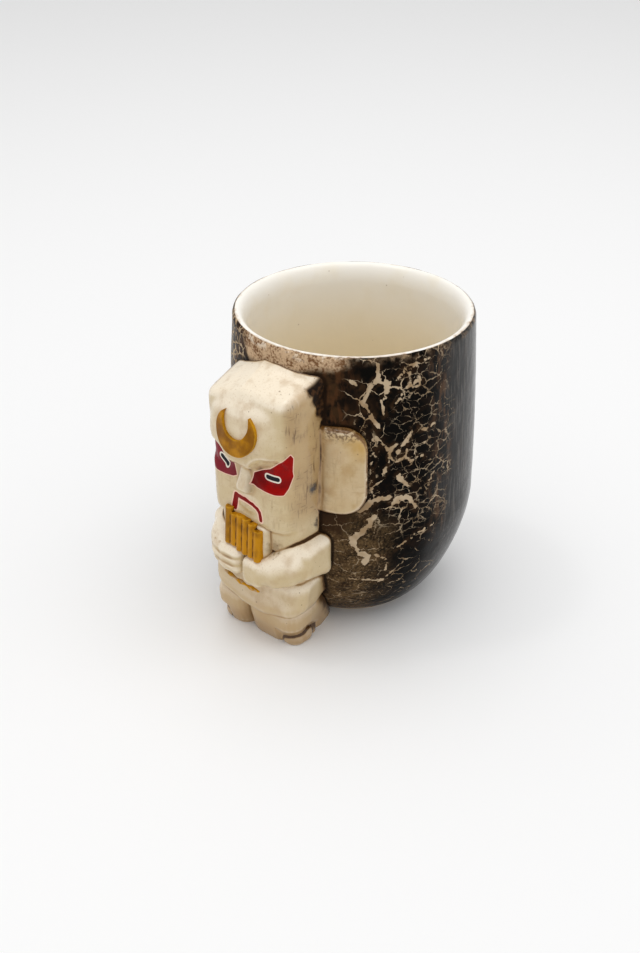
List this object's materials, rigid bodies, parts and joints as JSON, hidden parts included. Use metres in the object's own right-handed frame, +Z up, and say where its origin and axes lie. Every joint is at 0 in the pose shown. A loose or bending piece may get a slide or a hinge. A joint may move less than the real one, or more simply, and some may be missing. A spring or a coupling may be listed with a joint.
{
  "type": "figure mug",
  "caption": "Glazed ceramic drinking mug: barrel cup with a rounded bottom, dark crackle glaze outside, cream inside, and a standing idol in relief on the front.",
  "frame": {"origin": "centre of the cup's flat unglazed foot, on the table", "axes": "+Z up along the cup's axis, the idol faces -Y, +X to the viewer's right when facing the idol"},
  "size_m": [0.0788, 0.0942, 0.1],
  "materials": {
    "bare_clay": "unglazed",
    "crackle_glaze": "gloss",
    "liner_glaze": "gloss",
    "idol_glaze": "gloss",
    "gilt": "satin"
  },
  "bodies": {
    "root": {"cup_wall": "bare_clay", "crackle_coat": "crackle_glaze", "liner_glaze": "liner_glaze", "head_block": "idol_glaze", "brow_dome": "idol_glaze", "crest": "gilt", "nose": "idol_glaze", "left_ear": "idol_glaze", "right_ear": "idol_glaze", "beard": "gilt", "torso": "idol_glaze", "left_arm": "idol_glaze", "right_arm": "idol_glaze", "left_hand": "idol_glaze", "right_hand": "idol_glaze", "belt": "gilt", "skirt": "idol_glaze", "left_leg": "idol_glaze", "right_leg": "idol_glaze", "left_foot": "idol_glaze", "right_foot": "idol_glaze"}
  },
  "joints": []
}
